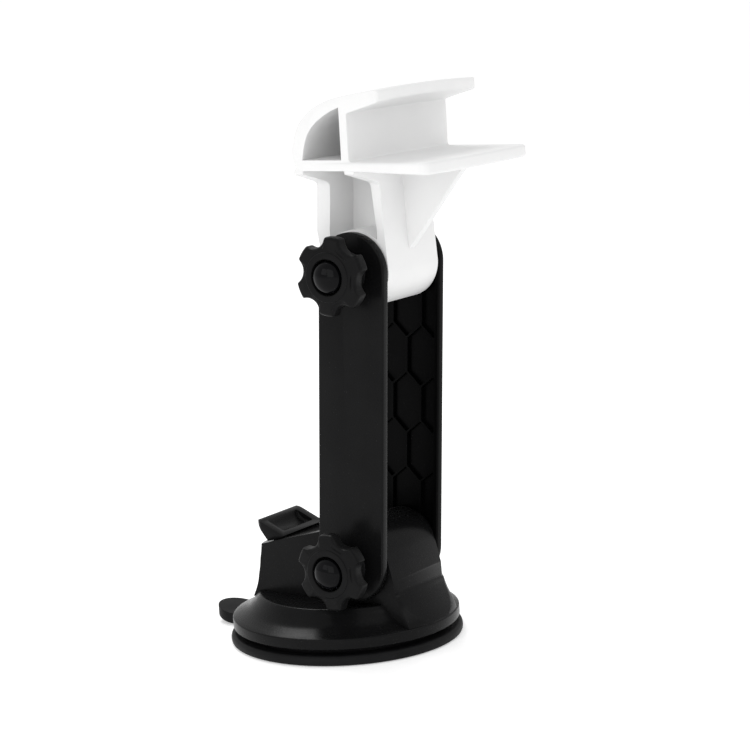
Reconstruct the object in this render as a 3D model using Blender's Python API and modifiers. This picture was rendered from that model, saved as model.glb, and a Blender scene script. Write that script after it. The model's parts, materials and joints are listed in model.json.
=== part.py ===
"""Suction-cup car phone mount with a two-plate folding arm.

A rubber suction pad is drawn up into a bell-shaped base by a cam lever. Two flat arm
plates swing on the base and carry a one-piece phone cradle between their other ends.
Each pivot is clamped by a bolt and a six-lobed hand knob.

Axes: +Z up, both pivots along X, knobs on the -X side, phone on the -Y side.
Dimensions are in millimetres. "Forward" is -Y, towards the phone; "out" is -X, towards
the knobs.
"""

import math

import bmesh
import bpy
from mathutils import Matrix, Vector

MM = 0.001
GAP = 0.3                      # clear gap between neighbouring pieces
ROUND_STEPS = 32               # facets round a small turned piece
BASE_STEPS = 72                # facets round the pad and the base
SMOOTH_ANGLE = math.radians(35)

# Arm and pivots
LOWER_PIVOT = (14.9, 28.2)     # forward, up
ARM_LENGTH = 92.4              # pivot to pivot
ARM_LEAN = math.radians(4.0)   # forward from upright
PLATE_RADIUS = 12.0            # half the plate's width and the radius of its ends
PLATE_INNER = 14.25            # inner face, out from the middle plane
PLATE_OUTER = 17.25
POCKET_DEPTH = 1.2
HONEYCOMB_PITCH = 15.45        # row to row along the arm
CELL_HALF_WIDTH = 5.3
CELL_HALF_SIDE = 5.6           # half the straight side that runs along the arm
CELL_RISE = 4.7
HONEYCOMB_RIM = 1.6
PIVOT_PAD_RADIUS = 10.4        # plain round patch about each pivot
RIB = 0.9

# Knuckles and clamp hardware
KNUCKLE_RADIUS = 11.8
KNUCKLE_HALF_WIDTH = 13.9
BOLT_RADIUS = 2.5
FRICTION_RADIUS = 8.5
FRICTION_THICKNESS = 1.2
BOLT_HEAD_ACROSS_FLATS = 8.0
BOLT_HEAD_POCKET = 1.6
BOLT_HEAD_HEIGHT = 3.2
NUT_THICKNESS = 4.0

# Knob, measured out from the middle plane
KNOB_TIP_RADIUS = 12.1
KNOB_NOTCH_RADIUS = 9.6
KNOB_NOTCH_CURVE = 4.6
KNOB_BOSS_RADIUS = 6.6
KNOB_BACK = 24.6
KNOB_FRONT = 29.6
KNOB_COLLAR_FRONT = 30.0
KNOB_COLLAR_RADIUS = 7.6
WELL_RADIUS = 5.45
WELL_FLOOR = 26.2
NUT_POCKET_FLOOR = 21.0
CAP_RADIUS = 4.95
CAP_RIM = 29.2
CAP_HEIGHT = 2.9
LOWER_KNOB_TURN = math.radians(22)
UPPER_KNOB_TURN = math.radians(34)

# Suction pad and base
PAD_RADIUS = 37.4
FLANGE_RADIUS = 36.5
FLANGE_BOTTOM = 4.9
LEDGE_HEIGHT = 15.4
SHELF_TOP = 19.7               # inner shelf that the lever's cam bears on
SHELF_THICKNESS = 2.5
WALL = 2.2
STEM_RADIUS = 4.0
STEM_HOLE_RADIUS = 5.2         # wide enough for the eye when the pad is let down
LEVER_SLOT_HALF_WIDTH = 10.1
TAB_HALF_WIDTH = 7.3
TAB_END = 50.3                 # behind the middle

# Lever
LEVER_PIVOT = (0.0, 27.5)      # forward, up
LEVER_HALF_WIDTH = 9.7
PADDLE_HALF_WIDTH = 11.2
LEVER_PIN_RADIUS = 1.5
LEVER_SWING = math.radians(75)
PAD_DROP = 2.2                 # how far the pad is let down by the open lever
CAM_REACH = LEVER_PIVOT[1] - SHELF_TOP - GAP

# Phone cradle, measured forward and up from the upper pivot
CRADLE_HALF_WIDTH = 27.6
LIP_DROOP = 0.6                # how far the lip's ends bow down
LIP_STATIONS = 8               # cross-sections along the lip
WEB_FRONT = 9.0
SHELF_LOW = 31.7
SHELF_FRONT_LOW = 30.5          # the shelf's underside sinks towards its front edge
SHELF_HIGH = 34.4
NECK_BACK = (-13.8, 12.2)      # where the neck's outer faces meet the knuckle
NECK_FRONT = (10.95, 12.6)

# Views a flat outline can be drawn in: local (a, b) and the direction it is extruded
SIDE = Matrix(((0, 0, -1, 0), (-1, 0, 0, 0), (0, 1, 0, 0), (0, 0, 0, 1)))   # forward, up, out
FRONT = Matrix(((1, 0, 0, 0), (0, 0, -1, 0), (0, 1, 0, 0), (0, 0, 0, 1)))   # x, up, forward
PLAN = Matrix(((0, 1, 0, 0), (-1, 0, 0, 0), (0, 0, 1, 0), (0, 0, 0, 1)))    # forward, x, up

BASE_FRAME = Matrix.Identity(4)


def place(forward, up):
    """Frame at a point of the middle plane."""
    return Matrix.Translation((0, -forward * MM, up * MM))


LEVER_FRAME = place(*LEVER_PIVOT)
ARM_FRAME = place(*LOWER_PIVOT) @ Matrix.Rotation(ARM_LEAN, 4, "X")
ARM_END_FRAME = ARM_FRAME @ place(0, ARM_LENGTH)
HEAD_FRAME = Matrix.Translation(ARM_END_FRAME.translation)


# ---------------------------------------------------------------- scene and helpers

for old_object in list(bpy.data.objects):
    bpy.data.objects.remove(old_object)

parts = bpy.data.collections.new("phone_mount")
cutters = bpy.data.collections.new("cutters")
bpy.context.scene.collection.children.link(parts)
bpy.context.scene.collection.children.link(cutters)


def material(name, colour, roughness, metallic=0.0):
    """Material of one sub-part."""
    made = bpy.data.materials.new(name)
    made.use_nodes = True
    shader = made.node_tree.nodes["Principled BSDF"]
    shader.inputs["Base Color"].default_value = (*colour, 1.0)
    shader.inputs["Roughness"].default_value = roughness
    shader.inputs["Metallic"].default_value = metallic
    return made


def arc(centre, radius, start, end, steps):
    """Points from the start angle to the end angle, in degrees."""
    angles = (math.radians(start + (end - start) * step / steps) for step in range(steps + 1))
    return [(centre[0] + radius * math.cos(angle), centre[1] + radius * math.sin(angle))
            for angle in angles]


def rounded(corners, steps=5):
    """Closed outline through (a, b, radius) corners, each rounded by its radius."""
    outline = []
    for index, (a, b, radius) in enumerate(corners):
        if radius == 0:
            outline.append((a, b))
            continue
        corner = Vector((a, b))
        to_last = (Vector(corners[index - 1][:2]) - corner).normalized()
        to_next = (Vector(corners[(index + 1) % len(corners)][:2]) - corner).normalized()
        half_angle = to_last.angle(to_next) / 2
        centre = corner + (to_last + to_next).normalized() * radius / math.sin(half_angle)
        first = corner + to_last * radius / math.tan(half_angle) - centre
        last = corner + to_next * radius / math.tan(half_angle) - centre
        start = math.degrees(math.atan2(first.y, first.x))
        turn = math.degrees(math.atan2(last.y, last.x)) - start
        turn = (turn + 180) % 360 - 180
        outline.extend(arc(centre, radius, start, start + turn, steps))
    return outline


def box_outline(low_a, high_a, low_b, high_b):
    """Rectangle as an outline."""
    return [(low_a, low_b), (high_a, low_b), (high_a, high_b), (low_a, high_b)]


def hexagon(across_flats, start=30):
    """Hexagon about the local centre."""
    return arc((0, 0), across_flats / 2 / math.cos(math.radians(30)), start, start + 300, 5)


def settle(name, source):
    """Replace a construction object by its finished, welded mesh."""
    evaluated = source.evaluated_get(bpy.context.evaluated_depsgraph_get())
    mesh = bpy.data.meshes.new_from_object(evaluated)
    mesh.name = name
    bpy.data.objects.remove(source)
    work = bmesh.new()
    work.from_mesh(mesh)
    bmesh.ops.remove_doubles(work, verts=work.verts, dist=0.002 * MM)
    bmesh.ops.dissolve_limit(work, angle_limit=math.radians(0.5), verts=work.verts,
                             edges=work.edges)
    bmesh.ops.recalc_face_normals(work, faces=work.faces)
    work.to_mesh(mesh)
    work.free()
    mesh.materials.clear()
    return mesh


def solid(name, mesh, frame, look=None):
    """Object in its frame: a sub-part when it has a look, a cutter otherwise."""
    made = bpy.data.objects.new(name, mesh)
    made.matrix_world = frame
    if look is None:
        cutters.objects.link(made)
        made.hide_render = True
        made.display_type = "WIRE"
    else:
        parts.objects.link(made)
        mesh.materials.append(look)
    return made


def extruded(name, outlines, low, high, view, frame=BASE_FRAME, look=None):
    """Flat outlines (holes inside solids) extruded from low to high along their view."""
    curve = bpy.data.curves.new(name, "CURVE")
    curve.dimensions = "2D"
    curve.fill_mode = "BOTH"
    curve.extrude = (high - low) / 2 * MM
    for outline in outlines:
        spline = curve.splines.new("POLY")
        spline.points.add(len(outline) - 1)
        for point, (a, b) in zip(spline.points, outline):
            point.co = (a * MM, b * MM, 0, 1)
        spline.use_cyclic_u = True
    drawn = bpy.data.objects.new(name + "_outline", curve)
    cutters.objects.link(drawn)
    mesh = settle(name, drawn)
    mesh.transform(view @ Matrix.Translation((0, 0, (low + high) / 2 * MM)))
    return solid(name, mesh, frame, look)


def turned(name, profile, view, frame=BASE_FRAME, look=None, steps=ROUND_STEPS):
    """Profile of (radius, height) points, top to bottom down the outside, spun round."""
    mesh = bpy.data.meshes.new(name + "_profile")
    work = bmesh.new()
    points = [work.verts.new((radius * MM, 0, height * MM)) for radius, height in profile]
    for first, second in zip(points, points[1:]):
        work.edges.new((first, second))
    if profile[0][0] > 0:
        work.edges.new((points[-1], points[0]))
    work.to_mesh(mesh)
    work.free()
    drawn = bpy.data.objects.new(name + "_profile", mesh)
    cutters.objects.link(drawn)
    screw = drawn.modifiers.new("turn", "SCREW")
    screw.steps = steps
    screw.render_steps = steps
    screw.use_merge_vertices = True
    screw.merge_threshold = 0.00001
    mesh = settle(name, drawn)
    mesh.transform(view)
    return solid(name, mesh, frame, look)


def disc(name, radius, low, high, view, frame=BASE_FRAME, look=None, bore=0.0, edge=0.0):
    """Cylinder or ring, with an optional chamfer on its outer edges."""
    profile = [(radius - edge, high), (radius, high - edge), (radius, low + edge),
               (radius - edge, low)]
    if edge == 0:
        profile = [(radius, high), (radius, low)]
    profile = [(bore, high)] + profile + [(bore, low)]
    return turned(name, profile, view, frame, look)


def combine(target, other, operation):
    """Exact Boolean of one object on another."""
    step = target.modifiers.new(operation.lower() + "_" + other.name, "BOOLEAN")
    step.object = other
    step.operation = operation
    step.solver = "EXACT"


def cut(target, *tools):
    """Take each tool away from the target."""
    for tool in tools:
        combine(target, tool, "DIFFERENCE")


def join(target, *additions):
    """Add each piece to the target."""
    for addition in additions:
        combine(target, addition, "UNION")


def keep_inside(target, envelope):
    """Keep only the part of the target inside the envelope."""
    combine(target, envelope, "INTERSECT")


def soften(target, width, segments=2, angle=35):
    """Round the sharp edges."""
    bevel = target.modifiers.new("soft_edges", "BEVEL")
    bevel.width = width * MM
    bevel.segments = segments
    bevel.limit_method = "ANGLE"
    bevel.angle_limit = math.radians(angle)


# ---------------------------------------------------------------- suction pad

def suction_pad():
    """Soft disc with a flat gripping face underneath and a pull tab at the back."""
    rubber = material("suction_pad", (0.012, 0.012, 0.013), 0.6)
    pad = turned("suction_pad", [
        (0, 4.2), (27, 4.2), (27, 4.6), (34.8, 4.6), (34.8, 3.0), (36.6, 2.9),
        (PAD_RADIUS, 2.1), (PAD_RADIUS, 0.8), (36.6, 0), (0, 0)], Matrix.Identity(4),
        look=rubber, steps=BASE_STEPS)
    tab = extruded("tab_side", [[
        (-30, 0.3), (-40, 0.3), (-44, 0.8), (-48, 2.0), (-TAB_END, 3.0), (-TAB_END, 5.8),
        (-47.5, 5.1), (-43.5, 4.2), (-39, 3.6), (-36, 3.4), (-30, 3.4)]],
        -TAB_HALF_WIDTH - 1, TAB_HALF_WIDTH + 1, SIDE)
    round_end = TAB_END - TAB_HALF_WIDTH
    keep_inside(tab, extruded("tab_plan", [
        [(-28, TAB_HALF_WIDTH)] + arc((-round_end, 0), TAB_HALF_WIDTH, 90, 270, 16)
        + [(-28, -TAB_HALF_WIDTH)]], -1, 8, PLAN))
    soften(tab, 0.9)
    join(pad, tab)
    return pad


def pad_core():
    """Stiff disc bonded to the pad, with the stem and eye that the lever pulls on."""
    plastic = material("pad_core", (0.03, 0.03, 0.032), 0.45)
    low = 4.2 + GAP
    disc_top = low + 2.0
    core = turned("pad_core", [
        (0, 22), (STEM_RADIUS, 22), (STEM_RADIUS, disc_top + 1.5), (5.5, disc_top),
        (26, disc_top), (26.5, disc_top - 0.5), (26.5, low), (0, low)], Matrix.Identity(4),
        look=plastic)
    eye_radius = 4.4
    eye_half_width = 3.2
    eye = extruded("stem_eye", [
        arc(LEVER_PIVOT, eye_radius, 0, 180, 16) + [(-3.2, 20), (3.2, 20)]],
        -eye_half_width, eye_half_width, SIDE)
    join(core, eye)
    cut(core, disc("stem_eye_bore", LEVER_PIN_RADIUS + 0.08, -6, 6, SIDE, LEVER_FRAME))
    return core


def pad_spring():
    """Coil round the stem that pushes the pad down when the lever is open."""
    steel = material("pad_spring", (0.55, 0.55, 0.56), 0.3, 1.0)
    coil_radius = 6.6
    wire_radius = 0.6
    low = 4.2 + 2.0 + 2 * GAP + wire_radius
    high = SHELF_TOP - SHELF_THICKNESS - GAP - wire_radius
    turns = 4
    ring = bpy.data.meshes.new("spring_wire")
    work = bmesh.new()
    bmesh.ops.create_circle(work, segments=8, radius=wire_radius * MM,
                            matrix=Matrix.Translation((coil_radius * MM, 0, 0))
                            @ Matrix.Rotation(math.radians(90), 4, "X"))
    work.to_mesh(ring)
    work.free()
    drawn = bpy.data.objects.new("spring_wire", ring)
    cutters.objects.link(drawn)
    coil = drawn.modifiers.new("coil", "SCREW")
    coil.steps = 20
    coil.render_steps = 20
    coil.iterations = turns
    coil.screw_offset = (high - low) / turns * MM
    mesh = bpy.data.meshes.new_from_object(
        drawn.evaluated_get(bpy.context.evaluated_depsgraph_get()))
    bpy.data.objects.remove(drawn)
    work = bmesh.new()
    work.from_mesh(mesh)
    bmesh.ops.remove_doubles(work, verts=work.verts, dist=0.001 * MM)
    bmesh.ops.holes_fill(work, edges=[edge for edge in work.edges if edge.is_boundary])
    bmesh.ops.recalc_face_normals(work, faces=work.faces)
    work.to_mesh(mesh)
    work.free()
    mesh.transform(Matrix.Translation((0, 0, low * MM)))
    mesh.name = "pad_spring"
    return solid("pad_spring", mesh, BASE_FRAME, steel)


# ---------------------------------------------------------------- base

def bell(name, front):
    """Outside of the base turned about the middle, wider for the front of the tower."""
    if front:
        flare = [(31.6, 46), (31.6, 22), (32.3, 18), (33.4, 14.8), (34.9, 11.8), (35.8, 9.8),
                 (36.2, 8.2)]
    else:
        flare = [(24.4, 46), (26.0, 30.0), (26.6, 26.1), (26.9, 23.5), (27.4, 20.9),
                 (27.9, 18.2), (28.7, 15.7), (29.8, 13.1)]
    return turned(name, [(0, 46)] + flare + [(0, flare[-1][1])], Matrix.Identity(4),
                  steps=BASE_STEPS)


def tower():
    """Block between the arm plates: knuckle in front, lever housing behind."""
    slope = math.radians(14.6)
    top_start = 90 + math.degrees(slope)
    barrel = arc(LOWER_PIVOT, KNUCKLE_RADIUS, 14, top_start, 15)
    crest = barrel[-1]
    back = -32
    outline = [(back, 13), (35.9, 8.4), (35.1, 9.7), (34.1, 11.0), (32.6, 12.8), (31.4, 14.4),
               (30.5, 16.0), (29.5, 18.6), (28.8, 21.2), (28.1, 23.9)]
    outline += barrel
    outline += [(back, crest[1] - (crest[0] - back) * math.tan(slope))]
    block = extruded("tower_side", [outline], -KNUCKLE_HALF_WIDTH, KNUCKLE_HALF_WIDTH, SIDE)
    envelope = bell("tower_front", front=True)
    cut(envelope, extruded("behind_middle", [box_outline(-50, 0, 0, 60)], -50, 50, SIDE))
    join(envelope, bell("tower_back", front=False))
    keep_inside(block, envelope)
    soften(block, 0.7)
    return block


def base_housing():
    """Bell-shaped shell with the knuckle, the lever slot and the inner cam shelf."""
    plastic = material("base_housing", (0.014, 0.014, 0.015), 0.42)
    housing = turned("base_housing", [
        (0, LEDGE_HEIGHT), (26.8, LEDGE_HEIGHT), (27.8, LEDGE_HEIGHT - 0.4),
        (28.5, LEDGE_HEIGHT - 1.2), (29.5, 13.1), (31.4, 10.9), (34.3, 9.2), (35.9, 8.4),
        (FLANGE_RADIUS, 7.8), (FLANGE_RADIUS, FLANGE_BOTTOM), (0, FLANGE_BOTTOM)],
        Matrix.Identity(4), look=plastic, steps=BASE_STEPS)
    join(housing, tower())
    cut(housing, *base_hollows())
    cut_knuckle(housing, place(*LOWER_PIVOT))
    return housing


def base_hollows():
    """Hollows of the base: under the skirt, under the knuckle, and the lever's slot."""
    below = FLANGE_BOTTOM - 1
    ceiling = LEDGE_HEIGHT - WALL
    skirt = turned("skirt_hollow", [
        (0, ceiling), (26.5, ceiling), (29.0, 10.4), (33.6, 7.4), (33.6, below), (0, below)],
        Matrix.Identity(4))
    inner_half_width = KNUCKLE_HALF_WIDTH - WALL
    under_shelf = extruded("under_shelf", [
        box_outline(-22, 9, below, SHELF_TOP - SHELF_THICKNESS)],
        -inner_half_width, inner_half_width, SIDE)
    under_knuckle = extruded("under_knuckle", [
        rounded([(8, below, 0), (26.2, below, 0), (25.2, 21.0, 2), (8, 21.0, 2)])],
        -inner_half_width, inner_half_width, SIDE)
    lever_slot = extruded("lever_slot", [box_outline(-23.2, 8.3, SHELF_TOP, 60)],
                          -LEVER_SLOT_HALF_WIDTH, LEVER_SLOT_HALF_WIDTH, SIDE)
    stem_hole = disc("stem_hole", STEM_HOLE_RADIUS, 10, 25, Matrix.Identity(4))
    return skirt, under_shelf, under_knuckle, lever_slot, stem_hole


def cut_knuckle(target, frame):
    """Bolt hole and the two washer recesses of a knuckle."""
    recess_floor = KNUCKLE_HALF_WIDTH + 0.05 - FRICTION_THICKNESS - GAP
    cut(target,
        disc("knuckle_bore_" + target.name, BOLT_RADIUS + 0.2, -20, 20, SIDE, frame),
        disc("recess_out_" + target.name, FRICTION_RADIUS + GAP, recess_floor, 20, SIDE, frame),
        disc("recess_in_" + target.name, FRICTION_RADIUS + GAP, -20, -recess_floor, SIDE,
             frame))


# ---------------------------------------------------------------- lever

def cam_point(angle):
    """Cam outline point, from straight down forwards; its reach falls evenly."""
    rate = PAD_DROP / LEVER_SWING
    reach = CAM_REACH - rate * angle
    forward = reach * math.sin(angle) - rate * math.cos(angle)
    up = -reach * math.cos(angle) - rate * math.sin(angle)
    return forward, up


def flip_lever():
    """Cam lever: two cheeks beside the stem, a hub and a wider, dished finger paddle."""
    plastic = material("flip_lever", (0.016, 0.016, 0.017), 0.35)
    cam = [cam_point(math.radians(angle)) for angle in range(-10, 91, 10)]
    hub = arc((0, 0), 4.9, 0, 118, 10)
    root = [(-10.0, 3.0), (-15.2, 5.2), (-20.5, 5.2), (-20.0, 2.6), (-9.0, -4.5)]
    lever = extruded("flip_lever", [cam + hub + root], -LEVER_HALF_WIDTH, LEVER_HALF_WIDTH,
                     SIDE, LEVER_FRAME, plastic)
    paddle_side = [(-14.9, 5.8), (-24.8, 10.2), (-25.6, 10.3), (-25.9, 9.6), (-21.4, 3.8),
                   (-15.6, 5.3)]
    paddle = extruded("paddle_side", [paddle_side], -PADDLE_HALF_WIDTH - 1,
                      PADDLE_HALF_WIDTH + 1, SIDE, LEVER_FRAME)
    plan = rounded([(-26.2, -PADDLE_HALF_WIDTH, 3), (-12, -PADDLE_HALF_WIDTH, 1),
                    (-12, PADDLE_HALF_WIDTH, 1), (-26.2, PADDLE_HALF_WIDTH, 3)])
    keep_inside(paddle, extruded("paddle_plan", [plan], 0, 15, PLAN, LEVER_FRAME))
    join(lever, paddle)
    stem_room = disc("lever_stem_room", 9.4, -STEM_RADIUS - GAP, STEM_RADIUS + GAP, SIDE,
                     LEVER_FRAME)
    bore = disc("lever_bore", LEVER_PIN_RADIUS + 0.08, -12, 12, SIDE, LEVER_FRAME)
    dish = extruded("paddle_dish", [[(-23.4, 12), (-23.4, 9.0), (-21.6, 6.4), (-18.2, 5.6),
                                     (-16.6, 7.0), (-16.6, 12)]], -8.2, 8.2, SIDE,
                    LEVER_FRAME)
    soften(dish, 0.8)
    cut(lever, stem_room, bore, dish)
    return lever


def lever_pin():
    """Steel pin through the lever's cheeks and the eye of the stem."""
    steel = material("lever_pin", (0.6, 0.6, 0.61), 0.25, 1.0)
    return disc("lever_pin", LEVER_PIN_RADIUS, -LEVER_HALF_WIDTH + GAP,
                LEVER_HALF_WIDTH - GAP, SIDE, LEVER_FRAME, steel, edge=0.3)


# ---------------------------------------------------------------- arm

def honeycomb_cells():
    """Centres of the honeycomb cells, as (forward, up along the arm)."""
    middle = ARM_LENGTH / 2
    cells = []
    for row in range(-2, 3):
        offsets = (0,) if row % 2 == 0 else (-CELL_HALF_WIDTH, CELL_HALF_WIDTH)
        cells += [(offset, middle + row * HONEYCOMB_PITCH) for offset in offsets]
        if row % 2 == 0:
            cells += [(side * 2 * CELL_HALF_WIDTH, middle + row * HONEYCOMB_PITCH)
                      for side in (-1, 1)]
    return cells


def cell_outline(centre):
    """Long hexagon standing on its point, trimmed by half a rib and by the plate's rim."""
    limit = PLATE_RADIUS - HONEYCOMB_RIM
    half_width = CELL_HALF_WIDTH - RIB / 2
    half_side = CELL_HALF_SIDE - RIB / 4
    point = half_side + CELL_RISE * half_width / CELL_HALF_WIDTH
    corners = [(half_width, -half_side), (half_width, half_side), (0, point),
               (-half_width, half_side), (-half_width, -half_side), (0, -point)]
    outline = [(centre[0] + a, centre[1] + b) for a, b in corners]
    return trim_outline(trim_outline(outline, limit, 1), limit, -1)


def trim_outline(outline, limit, side):
    """Part of a convex outline on the inner side of forward = side * limit."""
    kept = []
    for last, point in zip(outline[-1:] + outline[:-1], outline):
        last_inside = side * last[0] <= limit
        inside = side * point[0] <= limit
        if inside != last_inside:
            share = (side * limit - last[0]) / (point[0] - last[0])
            kept.append((side * limit, last[1] + share * (point[1] - last[1])))
        if inside:
            kept.append(point)
    return kept


def arm_plate(name, side):
    """Flat plate with round ends and a honeycomb pocketed into its inner face."""
    plastic = material(name, (0.014, 0.014, 0.015), 0.42)
    outline = (arc((0, 0), PLATE_RADIUS, 180, 360, 24)
               + arc((0, ARM_LENGTH), PLATE_RADIUS, 0, 180, 24))
    low, high = sorted((side * PLATE_INNER, side * PLATE_OUTER))
    plate = extruded(name, [outline], low, high, SIDE, ARM_FRAME, plastic)
    soften(plate, 0.5)
    pocket_floor = side * (PLATE_INNER + POCKET_DEPTH)
    low, high = sorted((side * (PLATE_INNER - 1), pocket_floor))
    cells = [cell_outline(centre) for centre in honeycomb_cells()]
    pockets = extruded(name + "_pockets", cells, low, high, SIDE, ARM_FRAME)
    cut(plate, pockets)
    for frame in (ARM_FRAME, ARM_END_FRAME):
        cut(pockets, disc(name + "_plain_patch", PIVOT_PAD_RADIUS, low - 1, high + 1, SIDE,
                          frame))
        cut(plate, disc(name + "_bore", BOLT_RADIUS + 0.1, low - 10, high + 10, SIDE, frame))
    return plate


def arm_plate_right():
    """Plate on the far side, with hexagonal recesses that hold the bolt heads."""
    plate = arm_plate("arm_plate_right", -1)
    for frame in (ARM_FRAME, ARM_END_FRAME):
        recess = hexagon(BOLT_HEAD_ACROSS_FLATS + 2 * GAP)
        cut(plate, extruded("head_recess", [recess], -PLATE_OUTER - 5,
                            -PLATE_OUTER + BOLT_HEAD_POCKET, SIDE, frame))
    return plate


# ---------------------------------------------------------------- clamp hardware

def friction_washer(name, side, frame):
    """Fibre washer sunk in the knuckle's face, gripped by the arm plate."""
    fibre = material(name, (0.05, 0.05, 0.05), 0.85)
    high = KNUCKLE_HALF_WIDTH + 0.05
    low, high = sorted((side * (high - FRICTION_THICKNESS), side * high))
    return disc(name, FRICTION_RADIUS, low, high, SIDE, frame, fibre, BOLT_RADIUS + 0.5, 0.2)


def bolt(name, frame):
    """Hexagon-head bolt through both plates and the knuckle."""
    steel = material(name, (0.5, 0.5, 0.52), 0.3, 1.0)
    head_seat = -PLATE_OUTER + BOLT_HEAD_POCKET - GAP
    head = extruded(name, [hexagon(BOLT_HEAD_ACROSS_FLATS)], head_seat - BOLT_HEAD_HEIGHT,
                    head_seat, SIDE, frame, steel)
    soften(head, 0.4)
    join(head, disc(name + "_shank", BOLT_RADIUS, head_seat - 1, WELL_FLOOR - 0.2, SIDE,
                    frame, edge=0.4))
    return head


def knob_washer(name, frame):
    """Steel washer between the arm plate and the knob's boss."""
    steel = material(name, (0.6, 0.6, 0.61), 0.25, 1.0)
    low = PLATE_OUTER + GAP
    return disc(name, 6.2, low, low + 1.0, SIDE, frame, steel, BOLT_RADIUS + 0.2, 0.2)


def knob(name, frame):
    """Six-lobed hand knob on a boss, with a well in its front."""
    plastic = material(name, (0.014, 0.014, 0.015), 0.4)
    outline = disc(name, KNOB_TIP_RADIUS, KNOB_BACK, KNOB_FRONT, SIDE, frame, plastic)
    reach = KNOB_NOTCH_RADIUS + KNOB_NOTCH_CURVE
    for lobe in range(6):
        turn = Matrix.Rotation(math.radians(30 + 60 * lobe), 4, "X")
        notch = disc(name + "_notch", KNOB_NOTCH_CURVE, KNOB_BACK - 3, KNOB_FRONT + 3, SIDE,
                     frame @ turn @ place(reach, 0))
        cut(outline, notch)
    soften(outline, 1.0, 3)
    collar = disc(name + "_collar", KNOB_COLLAR_RADIUS, KNOB_BACK + 2, KNOB_COLLAR_FRONT,
                  SIDE, frame, edge=0.4)
    boss_back = PLATE_OUTER + 1.0 + 2 * GAP
    boss = disc(name + "_boss", KNOB_BOSS_RADIUS, boss_back, KNOB_BACK + 2, SIDE, frame,
                edge=0.3)
    join(outline, collar, boss)
    well = disc(name + "_well", WELL_RADIUS, WELL_FLOOR, KNOB_FRONT + 4, SIDE, frame)
    pocket = extruded(name + "_nut_pocket", [hexagon(BOLT_HEAD_ACROSS_FLATS + 2 * GAP)],
                      NUT_POCKET_FLOOR, WELL_FLOOR + 1, SIDE, frame)
    bore = disc(name + "_bore", BOLT_RADIUS + GAP, boss_back - 2, WELL_FLOOR, SIDE, frame)
    cut(outline, well, pocket, bore)
    return outline


def knob_nut(name, frame):
    """Hexagon nut held in the knob."""
    brass = material(name, (0.6, 0.42, 0.16), 0.3, 1.0)
    low = NUT_POCKET_FLOOR + GAP
    nut = extruded(name, [hexagon(BOLT_HEAD_ACROSS_FLATS)], low, low + NUT_THICKNESS, SIDE,
                   frame, brass)
    soften(nut, 0.3)
    cut(nut, disc(name + "_thread", BOLT_RADIUS + 0.1, low - 2, low + NUT_THICKNESS + 2, SIDE,
                  frame))
    return nut


def knob_cap(name, frame):
    """Glossy domed cap that closes the knob's well."""
    gloss = material(name, (0.008, 0.008, 0.009), 0.08)
    bottom = WELL_FLOOR + GAP
    dome = [(CAP_RADIUS * math.cos(angle), CAP_RIM + CAP_HEIGHT * math.sin(angle))
            for angle in (math.radians(90 - 15 * step) for step in range(7))]
    dome[0] = (0, CAP_RIM + CAP_HEIGHT)
    return turned(name, dome + [(CAP_RADIUS, bottom), (0, bottom)], SIDE, frame, gloss)


# ---------------------------------------------------------------- phone cradle

def lip_drop(across, up):
    """How far a point of the shell is bowed down: only near the top and the ends."""
    share = min(max((up - 46) / 8, 0), 1)
    return LIP_DROOP * (across / CRADLE_HALF_WIDTH) ** 2 * share * share * (3 - 2 * share)


def bowed(name, outline, half_width):
    """Closed side outline swept across the middle plane, its top bowed down to the ends."""
    work = bmesh.new()
    rings = []
    for station in range(LIP_STATIONS + 1):
        across = half_width * (2 * station / LIP_STATIONS - 1)
        rings.append([work.verts.new((across * MM, -forward * MM,
                                      (up - lip_drop(across, up)) * MM))
                      for forward, up in outline])
    for ring, following in zip(rings, rings[1:]):
        for index in range(len(outline)):
            work.faces.new((ring[index - 1], ring[index], following[index],
                            following[index - 1]))
    work.faces.new(rings[0])
    work.faces.new(rings[-1])
    bmesh.ops.recalc_face_normals(work, faces=work.faces)
    mesh = bpy.data.meshes.new(name)
    work.to_mesh(mesh)
    work.free()
    return solid(name, mesh, HEAD_FRAME)


def cradle_shell():
    """Back shell with the overhanging lip and the flat web."""
    outer = [(WEB_FRONT, SHELF_LOW), (-8.4, SHELF_LOW), (-10.2, 32.7), (-11.1, 34.3),
             (-11.4, 36.3), (-11.2, 38.4), (-10.6, 41.1), (-9.4, 44.1), (-8.1, 46.2),
             (-6.5, 47.9), (-4.6, 49.6), (-2.4, 51.1), (0.3, 52.4), (4.0, 53.7), (7.6, 54.4),
             (11.2, 55.0), (14.8, 55.5), (19.5, 56.0), (20.3, 55.5), (20.5, 52.9),
             (20.0, 52.2), (10.6, 49.4), (9.5, 49.0), (WEB_FRONT, 48.4), (WEB_FRONT, 39)]
    hollow = [(6.4, 34.9), (-7.8, 34.9), (-7.5, 36.6), (-6.7, 39.6), (-5.4, 42.6),
              (-3.3, 45.2), (-0.2, 47.6), (3.5, 49.8), (6.4, 51.0)]
    shell = bowed("cradle_shell", outer, CRADLE_HALF_WIDTH)
    cut(shell, bowed("shell_hollow", hollow, CRADLE_HALF_WIDTH + 1))
    plan = rounded([
        (-14, -CRADLE_HALF_WIDTH - 1, 0), (20.5, -CRADLE_HALF_WIDTH, 1.5),
        (20.5, CRADLE_HALF_WIDTH, 1.5), (-14, CRADLE_HALF_WIDTH + 1, 0)])
    keep_inside(shell, extruded("cradle_plan", [plan], 20, 70, PLAN, HEAD_FRAME))
    soften(shell, 0.5)
    return shell


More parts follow.
